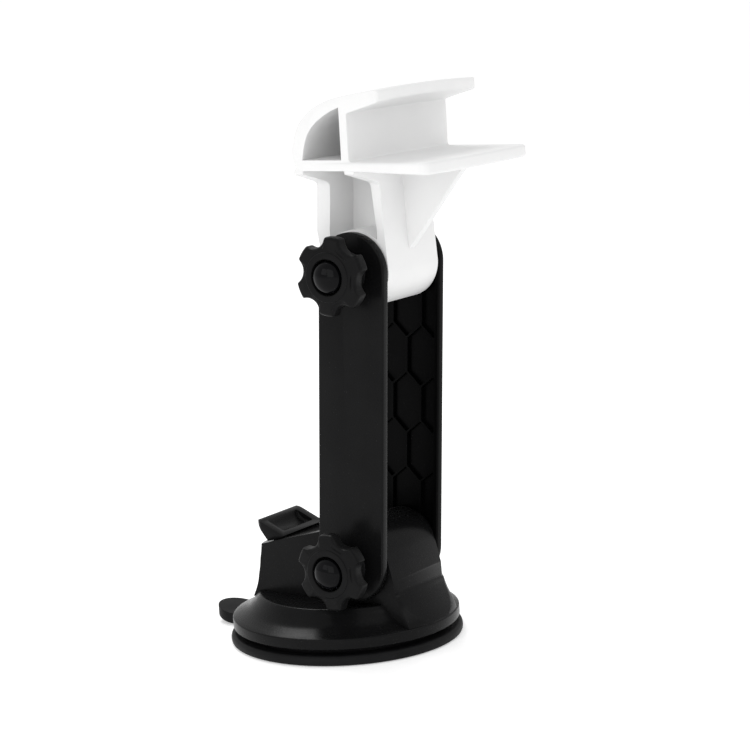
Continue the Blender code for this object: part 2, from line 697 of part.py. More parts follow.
def cradle_shelf():
    """Flat-topped shelf, wider, thicker and slightly bowed at the front."""
    half = [(-6, 27.5, 0), (9, 28, 0), (32, 29, 0), (37.2, 29, 2.5)]
    half += [(38.4 - 0.0014 * x * x, x, 0) for x in (24, 16, 8)]
    outline = half + [(38.4, 0, 0)]
    outline += [(forward, -x, radius) for forward, x, radius in reversed(half)]
    shelf = extruded("cradle_shelf", [rounded(outline)], SHELF_FRONT_LOW - 1, SHELF_HIGH,
                     PLAN, HEAD_FRAME)
    side = [(-7, SHELF_LOW + 0.4), (39, SHELF_FRONT_LOW), (39, SHELF_HIGH + 1),
            (-7, SHELF_HIGH + 1)]
    keep_inside(shelf, extruded("shelf_side", [side], -30, 30, SIDE, HEAD_FRAME))
    soften(shelf, 0.9, 3)
    return shelf


def cradle_neck():
    """Two walls that flare out under the shelf, joined by a thin middle web."""
    walls = [
        [(-8.0, 33), (-8.0, 24.6), (-8.9, 12.3), (-8.9, 9), (-12, 9), NECK_BACK,
         (-12.9, 24.5), (-12.3, 28.5), (-11.2, 31.7), (-10, 33)],
        [(7.1, 33), (10.4, 33), (10.4, 25.9), NECK_FRONT, (9.6, 9), (8.3, 9), (8.3, 12.6),
         (7.1, 25.9)]]
    neck = extruded("neck_walls", walls, -27.5, 27.5, SIDE, HEAD_FRAME)
    half = [(KNUCKLE_HALF_WIDTH, 0), (KNUCKLE_HALF_WIDTH, 25.6), (14.1, 26.3), (14.6, 26.9),
            (15.6, 27.4), (27.4, 30.7), (27.4, 34)]
    keep_inside(neck, extruded(
        "neck_front", [half + [(-x, up) for x, up in reversed(half)]], -20, 20, FRONT,
        HEAD_FRAME))
    web = extruded("neck_web", [box_outline(-10, 9, 8, 33)], -1.25, 1.25, SIDE, HEAD_FRAME)
    gusset = extruded("neck_gusset", [
        [(34.6, 32.6), (33.4, 31.5), (26.5, 23.2), (16.4, 11), (11.6, 5.4), (9, 5.4),
         (9, 32.6)]], -1.4, 1.4, SIDE, HEAD_FRAME)
    soften(gusset, 0.6)
    return neck, web, gusset


def phone_cradle():
    """One-piece cradle: knuckle, neck, shelf, back shell and lip."""
    plastic = material("phone_cradle", (0.86, 0.86, 0.86), 0.4)
    knuckle = [NECK_BACK] + arc((0, 0), KNUCKLE_RADIUS, 180, 360, 24) + [NECK_FRONT]
    recess_floor = arc((0, 0), KNUCKLE_RADIUS + 0.6, 50, 130, 8)
    cradle = extruded("phone_cradle", [knuckle + recess_floor], -KNUCKLE_HALF_WIDTH,
                      KNUCKLE_HALF_WIDTH, SIDE, HEAD_FRAME, plastic)
    join(cradle, *cradle_neck(), cradle_shelf(), cradle_shell())
    cut_knuckle(cradle, HEAD_FRAME)
    return cradle


# ---------------------------------------------------------------- assembly

def clamp(prefix, pivot_frame, turn):
    """Bolt, washers and knob of one pivot."""
    knob_frame = pivot_frame @ Matrix.Rotation(turn, 4, "X")
    return [
        friction_washer(prefix + "_friction_washer_left", 1, pivot_frame),
        friction_washer(prefix + "_friction_washer_right", -1, pivot_frame),
        bolt(prefix + "_bolt", pivot_frame),
        knob_washer(prefix + "_knob_washer", pivot_frame),
        knob(prefix + "_knob", knob_frame),
        knob_nut(prefix + "_knob_nut", knob_frame),
        knob_cap(prefix + "_knob_cap", knob_frame)]


def main():
    """Build every sub-part."""
    pieces = [suction_pad(), pad_core(), pad_spring(), base_housing(), flip_lever(),
              lever_pin(), arm_plate("arm_plate_left", 1), arm_plate_right(), phone_cradle()]
    pieces += clamp("lower", ARM_FRAME, LOWER_KNOB_TURN)
    pieces += clamp("upper", ARM_END_FRAME, UPPER_KNOB_TURN)
    for piece in pieces:
        piece.data.shade_smooth()
        piece.data.set_sharp_from_angle(angle=SMOOTH_ANGLE)


main()
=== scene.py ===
"""Looks of the suction-cup phone mount: detailed shells, moulded plastics and a studio.

Lengths are in millimetres unless a name says otherwise; MM turns them into metres.
"Forward" is -Y, towards the phone, and "out" is -X, towards the knobs.
"""

import json
import math

import bmesh
import bpy
from mathutils import Matrix, Vector

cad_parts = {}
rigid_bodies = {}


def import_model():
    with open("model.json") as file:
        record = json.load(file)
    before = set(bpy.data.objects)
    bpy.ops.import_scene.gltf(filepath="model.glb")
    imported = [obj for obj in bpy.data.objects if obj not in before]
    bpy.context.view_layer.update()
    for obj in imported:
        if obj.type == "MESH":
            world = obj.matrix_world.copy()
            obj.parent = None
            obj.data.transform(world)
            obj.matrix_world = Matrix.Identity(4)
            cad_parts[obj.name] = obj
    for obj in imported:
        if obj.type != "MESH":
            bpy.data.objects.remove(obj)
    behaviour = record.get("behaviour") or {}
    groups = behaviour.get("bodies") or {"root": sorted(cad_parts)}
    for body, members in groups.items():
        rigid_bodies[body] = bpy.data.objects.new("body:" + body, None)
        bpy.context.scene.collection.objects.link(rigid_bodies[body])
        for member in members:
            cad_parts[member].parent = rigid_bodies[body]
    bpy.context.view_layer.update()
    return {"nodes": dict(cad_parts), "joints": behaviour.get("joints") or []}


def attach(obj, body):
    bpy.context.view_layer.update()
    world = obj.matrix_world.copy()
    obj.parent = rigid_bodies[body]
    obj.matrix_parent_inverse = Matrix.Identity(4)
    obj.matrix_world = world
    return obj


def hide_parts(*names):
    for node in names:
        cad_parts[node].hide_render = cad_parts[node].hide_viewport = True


MM = 0.001
ROUND_STEPS = 96
BASE_STEPS = 144
SMALL_BORE_STEPS = 48
WELD = 0.002
SMOOTH_ANGLE = math.radians(32)

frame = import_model()
joints = {joint["name"]: joint for joint in frame["joints"]}


# ---------------------------------------------------------------- frames of the bodies

SIDE = Matrix(((0, 0, -1, 0), (-1, 0, 0, 0), (0, 1, 0, 0), (0, 0, 0, 1)))   # forward, up, out
FRONT = Matrix(((1, 0, 0, 0), (0, 0, -1, 0), (0, 1, 0, 0), (0, 0, 0, 1)))   # x, up, forward
PLAN = Matrix(((0, 1, 0, 0), (-1, 0, 0, 0), (0, 0, 1, 0), (0, 0, 0, 1)))    # forward, x, up
UPRIGHT = Matrix.Identity(4)


def place(forward, up):
    """Frame at a point of the middle plane."""
    return Matrix.Translation((0, -forward * MM, up * MM))


def pivot(joint):
    """Point on a joint's axis, in the middle plane, in metres."""
    position = Vector(joints[joint]["pos_m"])
    position.x = 0
    return position


LOWER_PIVOT = pivot("arm_swing")
UPPER_PIVOT = pivot("head_tilt")
ARM = UPPER_PIVOT - LOWER_PIVOT
ARM_LENGTH = ARM.length / MM
ARM_LEAN = math.atan2(-ARM.y, ARM.z)
BASE_FRAME = Matrix.Identity(4)
LEVER_FRAME = Matrix.Translation(pivot("lever_flip"))
ARM_FRAME = Matrix.Translation(LOWER_PIVOT) @ Matrix.Rotation(ARM_LEAN, 4, "X")
ARM_END_FRAME = ARM_FRAME @ place(0, ARM_LENGTH)
HEAD_FRAME = Matrix.Translation(UPPER_PIVOT)
LOWER_KNOB_TURN = math.radians(22)
UPPER_KNOB_TURN = math.radians(34)
LOWER_KNOB_FRAME = ARM_FRAME @ Matrix.Rotation(LOWER_KNOB_TURN, 4, "X")
UPPER_KNOB_FRAME = ARM_END_FRAME @ Matrix.Rotation(UPPER_KNOB_TURN, 4, "X")


# ---------------------------------------------------------------- outlines

def arc(centre, radius, start, end, steps):
    """Points from the start angle to the end angle, in degrees."""
    angles = (math.radians(start + (end - start) * step / steps) for step in range(steps + 1))
    return [(centre[0] + radius * math.cos(angle), centre[1] + radius * math.sin(angle))
            for angle in angles]


def rounded(corners, steps=8):
    """Closed outline through (a, b, radius) corners, each rounded by its radius."""
    outline = []
    for index, (a, b, radius) in enumerate(corners):
        if radius == 0:
            outline.append((a, b))
            continue
        corner = Vector((a, b))
        to_last = (Vector(corners[index - 1][:2]) - corner).normalized()
        to_next = (Vector(corners[(index + 1) % len(corners)][:2]) - corner).normalized()
        half_angle = to_last.angle(to_next) / 2
        centre = corner + (to_last + to_next).normalized() * radius / math.sin(half_angle)
        first = corner + to_last * radius / math.tan(half_angle) - centre
        last = corner + to_next * radius / math.tan(half_angle) - centre
        start = math.degrees(math.atan2(first.y, first.x))
        turn = math.degrees(math.atan2(last.y, last.x)) - start
        turn = (turn + 180) % 360 - 180
        outline.extend(arc(centre, radius, start, start + turn, steps))
    return outline


def flowing(points, steps=4):
    """Smooth open path through the points."""
    knots = [Vector(point) for point in points]
    knots = [2 * knots[0] - knots[1]] + knots + [2 * knots[-1] - knots[-2]]
    path = []
    for before, start, end, after in zip(knots, knots[1:], knots[2:], knots[3:]):
        for step in range(steps):
            t = step / steps
            point = 0.5 * (2 * start + (end - before) * t
                           + (2 * before - 5 * start + 4 * end - after) * t ** 2
                           + (3 * start - before - 3 * end + after) * t ** 3)
            path.append((point.x, point.y))
    path.append(tuple(points[-1]))
    return path


def box_outline(low_a, high_a, low_b, high_b):
    """Rectangle as an outline."""
    return [(low_a, low_b), (high_a, low_b), (high_a, high_b), (low_a, high_b)]


# ---------------------------------------------------------------- solids

scratch = bpy.data.collections.new("scratch")
bpy.context.scene.collection.children.link(scratch)


def evaluated_mesh(name, drawn):
    """Mesh of an object with its modifiers applied; the object is removed."""
    bpy.context.view_layer.update()
    evaluated = drawn.evaluated_get(bpy.context.evaluated_depsgraph_get())
    mesh = bpy.data.meshes.new_from_object(evaluated)
    mesh.name = name
    bpy.data.objects.remove(drawn)
    return mesh


def tidy_mesh(mesh, flatten=True):
    """Weld the seams, merge the flat faces and turn every face outwards."""
    work = bmesh.new()
    work.from_mesh(mesh)
    bmesh.ops.remove_doubles(work, verts=work.verts, dist=WELD * MM)
    if flatten:
        bmesh.ops.dissolve_limit(work, angle_limit=math.radians(0.2), verts=work.verts,
                                 edges=work.edges)
    bmesh.ops.recalc_face_normals(work, faces=work.faces)
    work.to_mesh(mesh)
    work.free()
    mesh.materials.clear()


def scratch_object(name, data, placing=None):
    """Construction object that is never shown."""
    made = bpy.data.objects.new(name, data)
    if placing is not None:
        made.matrix_world = placing
    scratch.objects.link(made)
    made.hide_render = True
    return made


def extruded(name, outlines, low, high, view, placing=BASE_FRAME):
    """Flat outlines (holes inside solids) extruded from low to high along their view."""
    curve = bpy.data.curves.new(name, "CURVE")
    curve.dimensions = "2D"
    curve.fill_mode = "BOTH"
    curve.extrude = (high - low) / 2 * MM
    for outline in outlines:
        spline = curve.splines.new("POLY")
        spline.points.add(len(outline) - 1)
        for point, (a, b) in zip(spline.points, outline):
            point.co = (a * MM, b * MM, 0, 1)
        spline.use_cyclic_u = True
    mesh = evaluated_mesh(name, scratch_object(name + "_outline", curve))
    tidy_mesh(mesh)
    mesh.transform(view @ Matrix.Translation((0, 0, (low + high) / 2 * MM)))
    return scratch_object(name, mesh, placing)


def turned(name, profile, view, placing=BASE_FRAME, steps=ROUND_STEPS):
    """Profile of (radius, height) points spun round its axis."""
    mesh = bpy.data.meshes.new(name + "_profile")
    work = bmesh.new()
    points = [work.verts.new((radius * MM, 0, height * MM)) for radius, height in profile]
    for first, second in zip(points, points[1:]):
        work.edges.new((first, second))
    if profile[0][0] > 0:
        work.edges.new((points[-1], points[0]))
    work.to_mesh(mesh)
    work.free()
    drawn = scratch_object(name + "_profile", mesh)
    screw = drawn.modifiers.new("turn", "SCREW")
    screw.steps = steps
    screw.render_steps = steps
    screw.use_merge_vertices = True
    screw.merge_threshold = 0.00001
    mesh = evaluated_mesh(name, drawn)
    tidy_mesh(mesh, flatten=False)
    mesh.transform(view)
    return scratch_object(name, mesh, placing)


def disc(name, radius, low, high, view, placing=BASE_FRAME, steps=ROUND_STEPS):
    """Cylinder, mostly for holes."""
    profile = [(0, high), (radius, high), (radius, low), (0, low)]
    return turned(name, profile, view, placing, steps)


def combine(target, other, operation):
    """Exact Boolean of one object on another."""
    step = target.modifiers.new(operation.lower() + "_" + other.name, "BOOLEAN")
    step.object = other
    step.operation = operation
    step.solver = "EXACT"


def cut(target, *tools):
    """Take each tool away from the target."""
    for tool in tools:
        combine(target, tool, "DIFFERENCE")


def join(target, *additions):
    """Add each piece to the target."""
    for addition in additions:
        combine(target, addition, "UNION")


def keep_inside(target, envelope):
    """Keep only the part of the target inside the envelope."""
    combine(target, envelope, "INTERSECT")


def soften(target, width, segments=3, angle=35):
    """Round the sharp edges."""
    bevel = target.modifiers.new("soft_edges", "BEVEL")
    bevel.width = width * MM
    bevel.segments = segments
    bevel.limit_method = "ANGLE"
    bevel.angle_limit = math.radians(angle)


def lofted(name, rows, view, placing, steps):
    """Closed ring of rows; each row gives (radius, height) for an angle."""
    work = bmesh.new()
    rings = []
    for row in rows:
        ring = []
        for step in range(steps):
            angle = math.tau * step / steps
            radius, height = row(angle)
            ring.append(work.verts.new((radius * math.cos(angle) * MM,
                                        radius * math.sin(angle) * MM, height * MM)))
        rings.append(ring)
    for first, second in zip(rings, rings[1:] + rings[:1]):
        for step in range(steps):
            following = (step + 1) % steps
            work.faces.new((first[step], first[following], second[following], second[step]))
    bmesh.ops.recalc_face_normals(work, faces=work.faces)
    mesh = bpy.data.meshes.new(name)
    work.to_mesh(mesh)
    work.free()
    mesh.transform(view)
    return scratch_object(name, mesh, placing)


def finished(name, drawn, look, body, slot, *nodes):
    """Final piece in place of its CAD nodes, riding on its body."""
    placing = drawn.matrix_world.copy()
    mesh = evaluated_mesh(name, drawn)
    mesh.transform(placing)
    tidy_mesh(mesh, flatten=False)
    mesh.materials.append(look)
    mesh.shade_smooth()
    mesh.set_sharp_from_angle(angle=SMOOTH_ANGLE)
    piece = bpy.data.objects.new(name, mesh)
    bpy.context.scene.collection.objects.link(piece)
    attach(piece, body)
    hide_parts(*nodes)
    return piece


# ---------------------------------------------------------------- materials

def shader_nodes(name):
    """New material with its node tree, shader and object coordinates."""
    made = bpy.data.materials.new(name)
    made.use_nodes = True
    tree = made.node_tree
    shader = tree.nodes["Principled BSDF"]
    coordinates = tree.nodes.new("ShaderNodeTexCoord")
    return made, tree, shader, coordinates.outputs["Object"]


def noise(tree, coordinates, size, detail=3.0, roughness=0.55):
    """Noise whose blotches are about the given size, in millimetres."""
    made = tree.nodes.new("ShaderNodeTexNoise")
    made.inputs["Scale"].default_value = 1 / (size * MM)
    made.inputs["Detail"].default_value = detail
    made.inputs["Roughness"].default_value = roughness
    tree.links.new(coordinates, made.inputs["Vector"])
    return made.outputs["Fac"]


def spread(tree, source, low, high):
    """Map the usual range of a noise to low..high."""
    made = tree.nodes.new("ShaderNodeMapRange")
    made.inputs["From Min"].default_value = 0.3
    made.inputs["From Max"].default_value = 0.7
    made.inputs["To Min"].default_value = low
    made.inputs["To Max"].default_value = high
    tree.links.new(source, made.inputs["Value"])
    return made.outputs["Result"]


def shade(tree, source, dark, light):
    """Colour between dark and light, following a noise."""
    made = tree.nodes.new("ShaderNodeValToRGB")
    made.color_ramp.elements[0].position = 0.3
    made.color_ramp.elements[1].position = 0.7
    made.color_ramp.elements[0].color = (*dark, 1)
    made.color_ramp.elements[1].color = (*light, 1)
    tree.links.new(source, made.inputs["Fac"])
    return made.outputs["Color"]


def bump(tree, shader, layers):
    """Stack of (height, depth in millimetres) bumps on the shader."""
    last = None
    for height, depth in layers:
        made = tree.nodes.new("ShaderNodeBump")
        made.inputs["Strength"].default_value = 1.0
        made.inputs["Distance"].default_value = depth * MM
        tree.links.new(height, made.inputs["Height"])
        if last is not None:
            tree.links.new(last, made.inputs["Normal"])
        last = made.outputs["Normal"]
    tree.links.new(last, shader.inputs["Normal"])


def moulded_plastic(name, dark, light, roughness, grain, specular):
    """Moulded plastic: fine spark-eroded grain, faint flow marks and handling marks."""
    made, tree, shader, coordinates = shader_nodes(name)
    flow = noise(tree, coordinates, 14, 4)
    handling = noise(tree, coordinates, 5, 5, 0.65)
    texture = noise(tree, coordinates, grain[0], 2)
    tree.links.new(shade(tree, flow, dark, light), shader.inputs["Base Color"])
    tree.links.new(spread(tree, handling, *roughness), shader.inputs["Roughness"])
    shader.inputs["Specular IOR Level"].default_value = specular
    bump(tree, shader, [(texture, grain[1]), (flow, 0.02)])
    return made


def soft_rubber():
    """Pad rubber: dull, slightly powdery, with a faint orange peel."""
    made, tree, shader, coordinates = shader_nodes("pad_rubber")
    bloom = noise(tree, coordinates, 9, 5, 0.6)
    peel = noise(tree, coordinates, 0.7, 3)
    tree.links.new(shade(tree, bloom, (0.005, 0.005, 0.0053), (0.009, 0.009, 0.0095)),
                   shader.inputs["Base Color"])
    tree.links.new(spread(tree, bloom, 0.48, 0.62), shader.inputs["Roughness"])
    shader.inputs["Specular IOR Level"].default_value = 0.09
    bump(tree, shader, [(peel, 0.012)])
    return made


def polished_cap():
    """Polished black plastic with faint sink marks."""
    made, tree, shader, coordinates = shader_nodes("polished_cap")
    sink = noise(tree, coordinates, 4, 2)
    tree.links.new(shade(tree, sink, (0.0015, 0.0015, 0.002), (0.0025, 0.0025, 0.003)),
                   shader.inputs["Base Color"])
    tree.links.new(spread(tree, sink, 0.06, 0.12), shader.inputs["Roughness"])
    shader.inputs["Specular IOR Level"].default_value = 0.09
    bump(tree, shader, [(sink, 0.01)])
    return made


def plated_metal(name, dark, light, roughness):
    """Plated or machined metal with turning marks and slight tarnish."""
    made, tree, shader, coordinates = shader_nodes(name)
    tarnish = noise(tree, coordinates, 3, 5, 0.6)
    marks = noise(tree, coordinates, 0.3, 2)
    tree.links.new(shade(tree, tarnish, dark, light), shader.inputs["Base Color"])
    tree.links.new(spread(tree, tarnish, *roughness), shader.inputs["Roughness"])
    shader.inputs["Metallic"].default_value = 1.0
    bump(tree, shader, [(marks, 0.006)])
    return made


def pressed_fibre():
    """Dark pressed fibre of the friction washers."""
    made, tree, shader, coordinates = shader_nodes("pressed_fibre")
    strands = noise(tree, coordinates, 0.5, 6, 0.7)
    tree.links.new(shade(tree, strands, (0.03, 0.028, 0.026), (0.07, 0.066, 0.06)),
                   shader.inputs["Base Color"])
    tree.links.new(spread(tree, strands, 0.8, 0.95), shader.inputs["Roughness"])
    bump(tree, shader, [(strands, 0.04)])
    return made


BLACK = moulded_plastic("black_plastic", (0.0036, 0.0036, 0.0038), (0.0054, 0.0054, 0.0056),
                        (0.24, 0.3), (0.3, 0.006), 0.08)
KNOB_BLACK = moulded_plastic("knob_plastic", (0.0055, 0.0055, 0.0057),
                             (0.0075, 0.0075, 0.0077), (0.32, 0.4), (0.35, 0.01), 0.06)
# Same black plastic as the other parts, made darker and less shiny: painted shade for the far
# arm plate, whose inner face sits in the shade between the two plates.
PAINTED_SHADE_BLACK = moulded_plastic("painted_shade_plastic", (0.001, 0.001, 0.0011),
                                  (0.0016, 0.0016, 0.0017), (0.30, 0.37), (0.3, 0.006), 0.04)
INNER_BLACK = moulded_plastic("inner_plastic", (0.01, 0.01, 0.011), (0.016, 0.016, 0.017),
                              (0.4, 0.5), (0.3, 0.008), 0.4)
WHITE = moulded_plastic("white_plastic", (0.77, 0.77, 0.77), (0.8, 0.8, 0.798),
                        (0.42, 0.5), (0.35, 0.006), 0.4)
RUBBER = soft_rubber()
GLOSS = polished_cap()
STEEL = plated_metal("zinc_plate", (0.42, 0.43, 0.45), (0.62, 0.63, 0.65), (0.22, 0.38))
BLACK_STEEL = plated_metal("black_oxide", (0.012, 0.012, 0.013), (0.03, 0.03, 0.032),
                           (0.3, 0.45))
BRASS = plated_metal("brass", (0.46, 0.31, 0.11), (0.62, 0.44, 0.17), (0.22, 0.36))
FIBRE = pressed_fibre()


# ---------------------------------------------------------------- suction pad

PAD_RADIUS = 37.4
CAD_MARGIN = 0.05       # keeps a curved edge inside the CAD's
TAB_HALF_WIDTH = 7.3
TAB_END = 50.3


def suction_pad():
    """Soft disc with a swelling lip, a ring groove underneath and the turned-up pull tab."""
    edge = PAD_RADIUS - CAD_MARGIN
    lip = flowing([(edge - 2.15, 2.85), (edge - 1.0, 2.98), (edge - 0.3, 2.5), (edge, 1.75),
                   (edge, 0.9), (edge - 0.2, 0.3), (edge - 0.6, 0.02)])
    profile = [(0, 4.2), (27, 4.2), (27, 4.55), (31.6, 4.55), (31.9, 4.3), (31.9, 3.1),
               (32.2, 2.8), (34.4, 2.8)] + lip
    profile += [(35.4, 0.0), (34.6, 0.0), (34.4, 0.25), (34.0, 0.25), (33.8, 0.0), (0, 0)]
    pad = turned("pad", profile, UPRIGHT, steps=BASE_STEPS)
    side = flowing([(-30, 0.3), (-40, 0.3), (-44, 0.8), (-48, 2.0), (-TAB_END, 3.0)])
    side += flowing([(-TAB_END, 5.8), (-47.5, 5.1), (-43.5, 4.2), (-39, 3.6), (-36, 3.4),
                     (-30, 3.4)])
    tab = extruded("tab", [side], -TAB_HALF_WIDTH - 1, TAB_HALF_WIDTH + 1, SIDE)
    round_end = TAB_END - TAB_HALF_WIDTH - CAD_MARGIN
    plan = ([(-28, TAB_HALF_WIDTH)] + arc((-round_end, 0), TAB_HALF_WIDTH, 90, 270, 40)
            + [(-28, -TAB_HALF_WIDTH)])
    keep_inside(tab, extruded("tab_plan", [plan], -1, 8, PLAN))
    soften(tab, 1.1, 5)
    join(pad, tab)
    return finished("suction_pad_shell", pad, RUBBER, "pad", "soft_rubber", "suction_pad")


# ---------------------------------------------------------------- base

FLANGE_RADIUS = 36.5
LEDGE_HEIGHT = 15.4
KNUCKLE_RADIUS = 11.8
KNUCKLE_HALF_WIDTH = 13.9
BLOCK_SLOPE = math.radians(14.6)
BLOCK_BACK = -32
FRONT_TANGENT = 14      # degrees round the knuckle where its straight front begins
SHELL_WALL = 2.2
BORE_RADIUS = 2.7
LOWER_CENTRE = (-LOWER_PIVOT.y / MM, LOWER_PIVOT.z / MM)
FRICTION_RECESS = 12.4
FRICTION_HOLE_RADIUS = 8.8
TOOL_REACH = 20         # how far a cutting tool runs out past the part


def bell(name, flare):
    """Outside of the base turned about the middle."""
    profile = [(0, flare[0][1])] + flare + [(0, flare[-1][1])]
    return turned(name, profile, UPRIGHT, steps=BASE_STEPS)


def tower():
    """Block between the arm plates: knuckle in front, lever housing behind."""
    barrel = arc(LOWER_CENTRE, KNUCKLE_RADIUS, FRONT_TANGENT,
                 90 + math.degrees(BLOCK_SLOPE), 36)
    crest = barrel[-1]
    front = flowing([(35.9, 8.4), (35.1, 9.7), (34.1, 11.0), (32.6, 12.8), (31.4, 14.4),
                     (30.5, 16.0), (29.5, 18.6), (28.8, 21.2), (28.1, 23.9), (27.3, 27.2)])
    outline = [(BLOCK_BACK, 13)] + front + barrel
    outline += [(BLOCK_BACK, crest[1] - (crest[0] - BLOCK_BACK) * math.tan(BLOCK_SLOPE))]
    block = extruded("tower_side", [outline], -KNUCKLE_HALF_WIDTH, KNUCKLE_HALF_WIDTH, SIDE)
    envelope = bell("tower_front", flowing([
        (31.6, 46), (31.6, 22), (32.3, 18), (33.4, 14.8), (34.9, 11.8), (35.8, 9.8),
        (36.2, 8.2)]))
    cut(envelope, extruded("behind_middle", [box_outline(-50, 0, 0, 60)], -50, 50, SIDE))
    back = flowing([(24.4, 46), (26.0, 30.0), (26.6, 26.1), (26.9, 23.5), (27.4, 20.9),
                    (27.9, 18.2), (28.7, 15.7), (29.8, 13.1)])
    join(envelope, bell("tower_back", back))
    keep_inside(block, envelope)
    soften(block, 0.8, 4)
    return block


def base_housing():
    """Bell-shaped shell with its band, ledge, block, knuckle and lever slot."""
    skirt = [(0, LEDGE_HEIGHT)]
    skirt += arc((26.9, LEDGE_HEIGHT - 0.9), 0.9, 90, 30, 5)
    skirt += flowing([(28.3, 14.3), (29.4, 12.9), (31.4, 10.9), (33.6, 9.6), (35.3, 8.8),
                      (36.0, 8.45)])
    skirt += arc((FLANGE_RADIUS - 0.5, 7.9), 0.5, 60, 0, 4)
    skirt += arc((FLANGE_RADIUS - 0.4, 5.3), 0.4, 0, -90, 4)
    skirt += [(0, 4.9)]
    housing = turned("housing", skirt, UPRIGHT, steps=BASE_STEPS)
    join(housing, tower())
    cut(housing, *base_hollows())
    return finished("base_shell", housing, BLACK, "base", "black_plastic", "base_housing")


def knuckle_holes(prefix, placing, bore_steps):
    """Bolt bore and the two friction washer recesses of a knuckle."""
    yield disc(prefix + "_bore", BORE_RADIUS, -TOOL_REACH, TOOL_REACH, SIDE, placing, bore_steps)
    yield disc(prefix + "_recess_out", FRICTION_HOLE_RADIUS, FRICTION_RECESS, TOOL_REACH, SIDE,
               placing)
    yield disc(prefix + "_recess_in", FRICTION_HOLE_RADIUS, -TOOL_REACH, -FRICTION_RECESS, SIDE,
               placing)


def base_hollows():
    """Hollow under the skirt, hollow under the block, lever slot and knuckle holes."""
    inner = KNUCKLE_HALF_WIDTH - SHELL_WALL
    yield turned("skirt_hollow", [(0, 13.2), (26.5, 13.2), (29, 10.4), (33.6, 7.4),
                                  (33.6, 3.9), (0, 3.9)], UPRIGHT)
    yield extruded("under_shelf", [box_outline(-22, 9, 3.9, 17.2)], -inner, inner, SIDE)
    yield extruded("under_knuckle", [rounded([
        (8, 3.9, 0), (26.2, 3.9, 0), (25.2, 21.0, 2), (8, 21.0, 2)])], -inner, inner, SIDE)
    yield extruded("lever_slot", [rounded([
        (-23.2, -10.1, 1), (8.3, -10.1, 1), (8.3, 10.1, 1), (-23.2, 10.1, 1)])],
        19.7, 60, PLAN)
    yield disc("stem_hole", 5.2, 10, 25, UPRIGHT)
    yield from knuckle_holes("knuckle", Matrix.Translation(LOWER_PIVOT), ROUND_STEPS)


# ---------------------------------------------------------------- lever

LEVER_HALF_WIDTH = 9.7
PADDLE_HALF_WIDTH = 11.2
LEVER_OPENING = math.radians(75)
PAD_DROP = 2.2          # how far the open lever lets the pad down
CAM_REACH = 7.5
CAM_RATE = PAD_DROP / LEVER_OPENING
PIN_HOLE_RADIUS = 1.58


def cam_point(angle):
    """Cam outline point, from straight down forwards; its reach falls evenly."""
    reach = CAM_REACH - CAM_RATE * angle
    forward = reach * math.sin(angle) - CAM_RATE * math.cos(angle)
    up = -reach * math.cos(angle) - CAM_RATE * math.sin(angle)
    return forward, up


def flip_lever():
    """Cam lever with a wider finger paddle, dished on top and rounded at its end."""
    cam = [cam_point(math.radians(angle)) for angle in range(-10, 91, 4)]
    hub = arc((0, 0), 4.9, 0, 118, 20)
    root = [(-10.0, 3.0), (-15.2, 5.2), (-20.5, 5.2), (-20.0, 2.6), (-9.0, -4.5)]
    lever = extruded("lever", [cam + hub + root], -LEVER_HALF_WIDTH, LEVER_HALF_WIDTH, SIDE,
                     LEVER_FRAME)
    paddle_side = [(-14.9, 5.8), (-24.6, 10.1)] + arc((-25.1, 9.5), 0.7, 60, 215, 8)
    paddle_side += [(-21.4, 3.8), (-15.6, 5.3)]
    paddle = extruded("paddle_side", [paddle_side], -PADDLE_HALF_WIDTH - 1,
                      PADDLE_HALF_WIDTH + 1, SIDE, LEVER_FRAME)
    plan = rounded([(-26.2, -PADDLE_HALF_WIDTH, 3), (-12, -PADDLE_HALF_WIDTH, 1),
                    (-12, PADDLE_HALF_WIDTH, 1), (-26.2, PADDLE_HALF_WIDTH, 3)], 12)
    keep_inside(paddle, extruded("paddle_plan", [plan], 0, 15, PLAN, LEVER_FRAME))
    join(lever, paddle)
    dish_floor = flowing([(-23.4, 9.0), (-22.9, 7.6), (-21.6, 6.4), (-19.8, 5.75),
                          (-18.2, 5.7), (-17.1, 6.3), (-16.6, 7.2)])
    dish = extruded("paddle_dish", [[(-23.4, 12)] + dish_floor + [(-16.6, 12)]], -8.2, 8.2,
                    SIDE, LEVER_FRAME)
    soften(dish, 0.9, 5, 50)
    cut(lever, dish)
    soften(lever, 0.35, 3, 40)
    cut(lever,
        disc("stem_room", 9.4, -4.3, 4.3, SIDE, LEVER_FRAME),
        disc("lever_bore", PIN_HOLE_RADIUS, -12, 12, SIDE, LEVER_FRAME, steps=32))
    return finished("lever_shell", lever, BLACK, "lever", "black_plastic", "flip_lever")


# ---------------------------------------------------------------- arm

PLATE_RADIUS = 12.0
PLATE_INNER = 14.25
PLATE_OUTER = 17.25
POCKET_DEPTH = 1.2
HONEYCOMB_PITCH = 15.45
CELL_HALF_WIDTH = 5.3
CELL_HALF_SIDE = 5.6
CELL_RISE = 4.7
HONEYCOMB_RIM = 1.6
RIB = 0.9
PIVOT_PAD_RADIUS = 10.4
PLATE_BORE_RADIUS = 2.6
HEAD_RADIUS = 4.97      # over the corners of a bolt head or nut
HEAD_DEPTH = 1.6


def honeycomb_cells():
    """Centres of the honeycomb cells, as (forward, up along the arm)."""
    cells = []
    for row in range(-2, 3):
        middle = ARM_LENGTH / 2 + row * HONEYCOMB_PITCH
        steps = (-2, 0, 2) if row % 2 == 0 else (-1, 1)
        cells += [(step * CELL_HALF_WIDTH, middle) for step in steps]
    return cells


def trim_outline(outline, limit, side):
    """Part of a convex outline on the inner side of forward = side * limit."""
    kept = []
    for last, point in zip(outline[-1:] + outline[:-1], outline):
        last_inside = side * last[0] <= limit
        inside = side * point[0] <= limit
        if inside != last_inside:
            share = (side * limit - last[0]) / (point[0] - last[0])
            kept.append((side * limit, last[1] + share * (point[1] - last[1])))
        if inside:
            kept.append(point)
    return kept


